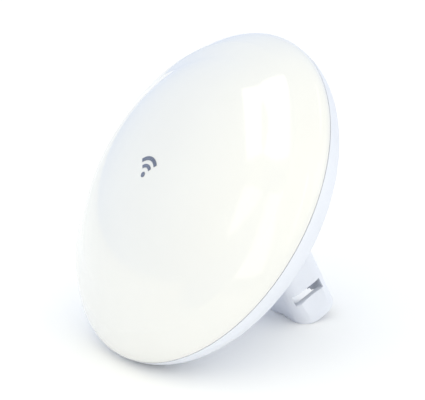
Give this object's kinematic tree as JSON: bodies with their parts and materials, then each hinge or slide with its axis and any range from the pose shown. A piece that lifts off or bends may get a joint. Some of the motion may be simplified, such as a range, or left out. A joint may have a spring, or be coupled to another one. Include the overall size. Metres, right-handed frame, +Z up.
{
  "type": "outdoor wireless bridge",
  "caption": "Round dish radio with a glossy domed radome, a matte rear shell, a port bay and a ball-jointed pole mount with strap slots.",
  "frame": {"origin": "on the table under the middle of the object's box, as it leans on its rim and on its pole mount", "axes": "+Z up from the table, -Y the side the dish faces, +X the object's left-right axis"},
  "size_m": [0.189, 0.134, 0.1594],
  "materials": {
    "radome_gloss": "high gloss",
    "seal_rubber": "matt",
    "emblem_grey": "satin",
    "shell_matte": "fine texture",
    "vent_grey": "matt",
    "reflector_metal": "spun satin",
    "screw_steel": "zinc",
    "feed_metal": "turned",
    "feed_plastic": "waxy",
    "board_green": "solder mask",
    "can_steel": "tinned",
    "chip_black": "matt",
    "pad_grey": "soft",
    "jack_steel": "plated",
    "button_grey": "satin",
    "led_clear": "clear",
    "light_clear": "frosted",
    "ribbon_white": "film",
    "grommet_rubber": "matt",
    "liner_grey": "waxy",
    "ring_white": "satin",
    "nut_white": "fine texture",
    "ball_white": "satin",
    "mount_matte": "fine texture"
  },
  "bodies": {
    "housing": {"radome": "radome_gloss", "radome_seal": "seal_rubber", "emblem": "emblem_grey", "rear_shell": "shell_matte", "vent_plug": "vent_grey", "reflector": "reflector_metal", "reflector_screws": "screw_steel", "feed_tube": "feed_metal", "feed_cone": "feed_plastic", "subreflector": "feed_metal", "main_board": "board_green", "board_screws": "screw_steel", "shield_can": "can_steel", "processor_chip": "chip_black", "thermal_pad": "pad_grey", "ethernet_jack": "jack_steel", "reset_switch": "chip_black", "led_board": "board_green", "led_chips": "led_clear", "light_pipe": "light_clear", "ribbon_cable": "ribbon_white"},
    "port_cover": {"port_cover": "shell_matte", "cable_grommet": "grommet_rubber"},
    "reset_button": {"reset_button": "button_grey"},
    "clamp_ring": {"clamp_ring": "ring_white"},
    "lock_nut": {"lock_nut": "nut_white"},
    "socket_liner": {"socket_liner": "liner_grey"},
    "ball": {"ball": "ball_white", "pivot_screw": "screw_steel"},
    "pole_mount": {"pole_mount": "mount_matte", "pivot_washer": "screw_steel"}
  },
  "joints": [
    {"name": "ball_swivel", "type": "hinge", "parent": "housing", "child": "socket_liner", "pos_m": [0, 0.03343, 0.0519], "axis": [0, 0.8194, -0.5733], "continuous": true},
    {"name": "ball_tilt", "type": "hinge", "parent": "socket_liner", "child": "ball", "pos_m": [0, 0.03343, 0.0519], "axis": [1, 0, 0], "range_deg": [-5.2, 64.8]},
    {"name": "arm_turn", "type": "hinge", "parent": "ball", "child": "pole_mount", "pos_m": [0, 0.03343, 0.0519], "axis": [0, 0.4261, -0.9047], "continuous": true},
    {"name": "clamp_travel", "type": "slide", "parent": "housing", "child": "clamp_ring", "axis": [0, 0.8194, -0.5733], "range_m": [0, 0.0016]},
    {"name": "nut_turn", "type": "hinge", "parent": "clamp_ring", "child": "lock_nut", "pos_m": [0, 0.03343, 0.0519], "axis": [0, 0.8194, -0.5733], "range_deg": [0, 360]},
    {"name": "cover_slide", "type": "slide", "parent": "housing", "child": "port_cover", "axis": [0, 0.8194, -0.5733], "range_m": [0, 0.015]},
    {"name": "reset_press", "type": "slide", "parent": "housing", "child": "reset_button", "axis": [0, 0.5733, 0.8194], "range_m": [0, 0.0004], "stiffness_N_per_m": 300, "springref_m": -0.0005}
  ],
  "couplings": [
    {"joint": "nut_turn", "follows": "clamp_travel", "rad_per_m": 3927}
  ]
}
